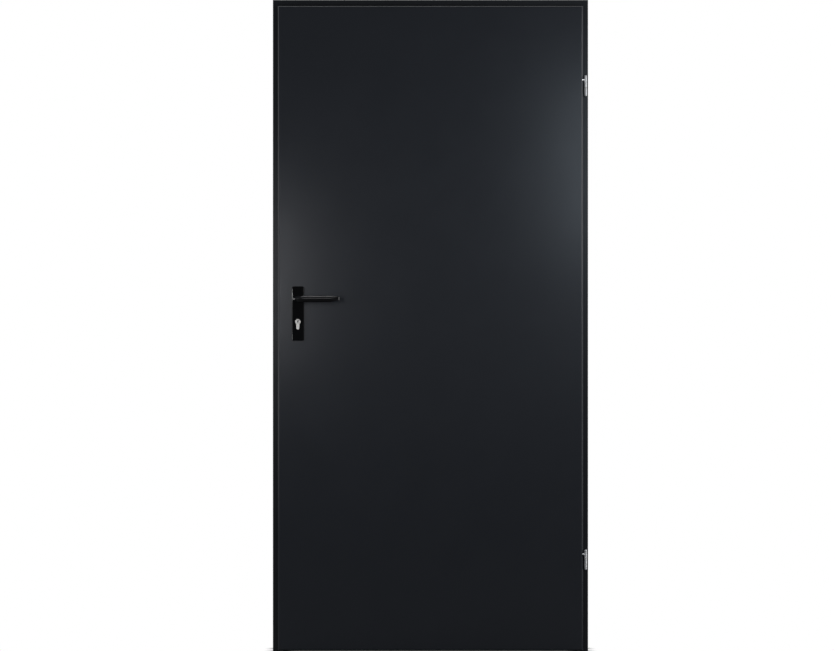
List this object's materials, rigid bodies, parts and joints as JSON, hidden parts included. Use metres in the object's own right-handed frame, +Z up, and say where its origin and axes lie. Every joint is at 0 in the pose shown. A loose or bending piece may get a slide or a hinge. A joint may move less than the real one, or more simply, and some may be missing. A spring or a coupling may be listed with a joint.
{
  "type": "steel utility door",
  "caption": "Hinged steel utility door leaf with a lapping lip in a folded sheet frame, with lever handles on long plates, a profile cylinder and barrel hinges.",
  "frame": {"origin": "on the wall face of the hinge jamb, at floor level, in the middle of the jamb's front wall lip", "axes": "+Z up, +X from the lock side to the hinge side, +Y from the outside face to the back of the frame"},
  "size_m": [1, 0.173, 2.067],
  "materials": {
    "frame_paint": "satin anthracite powder coat",
    "leaf_paint": "satin anthracite powder coat, fine grain",
    "seal_rubber": "matt black",
    "strike_plastic": "black moulded",
    "hinge_zinc": "bright zinc plated",
    "hinge_ring": "bright bearing ring",
    "plain_steel": "zinc plated",
    "lock_steel": "zinc plated",
    "cylinder_nickel": "satin nickel",
    "handle_plastic": "satin black"
  },
  "bodies": {
    "frame": {"frame_hinge_jamb": "frame_paint", "frame_lock_jamb": "frame_paint", "frame_head": "frame_paint", "seal_hinge_side": "seal_rubber", "seal_lock_side": "seal_rubber", "seal_head": "seal_rubber", "strike_box": "strike_plastic", "upper_hinge_frame_knuckle": "hinge_zinc", "upper_hinge_pin": "plain_steel", "upper_hinge_ring": "hinge_ring", "upper_hinge_backing": "plain_steel", "lower_hinge_frame_knuckle": "hinge_zinc", "lower_hinge_pin": "plain_steel", "lower_hinge_ring": "hinge_ring", "lower_hinge_backing": "plain_steel"},
    "leaf": {"leaf_front_skin": "leaf_paint", "leaf_back_skin": "leaf_paint", "upper_hinge_leaf_knuckle": "hinge_zinc", "upper_hinge_block": "plain_steel", "lower_hinge_leaf_knuckle": "hinge_zinc", "lower_hinge_block": "plain_steel", "lock_forend": "lock_steel", "lock_case": "lock_steel", "latch_bolt": "lock_steel", "dead_bolt": "lock_steel", "lock_cylinder": "cylinder_nickel", "front_cylinder_plug": "cylinder_nickel", "back_cylinder_plug": "cylinder_nickel", "front_handle_plate": "handle_plastic", "back_handle_plate": "handle_plastic"},
    "lever_set": {"front_lever": "handle_plastic", "back_lever": "handle_plastic", "spindle": "plain_steel"}
  },
  "joints": [
    {"name": "leaf_swing", "type": "hinge", "parent": "frame", "child": "leaf", "pos_m": [-0.009, -0.0245, 0], "axis": [0, 0, 1], "range_deg": [0, 170]},
    {"name": "lever_turn", "type": "hinge", "parent": "leaf", "child": "lever_set", "pos_m": [-0.919, -0.04, 1.1175], "axis": [0, 1, 0], "range_deg": [0, 40], "stiffness_Nm_per_rad": 1.2, "springref_deg": -34.38}
  ]
}
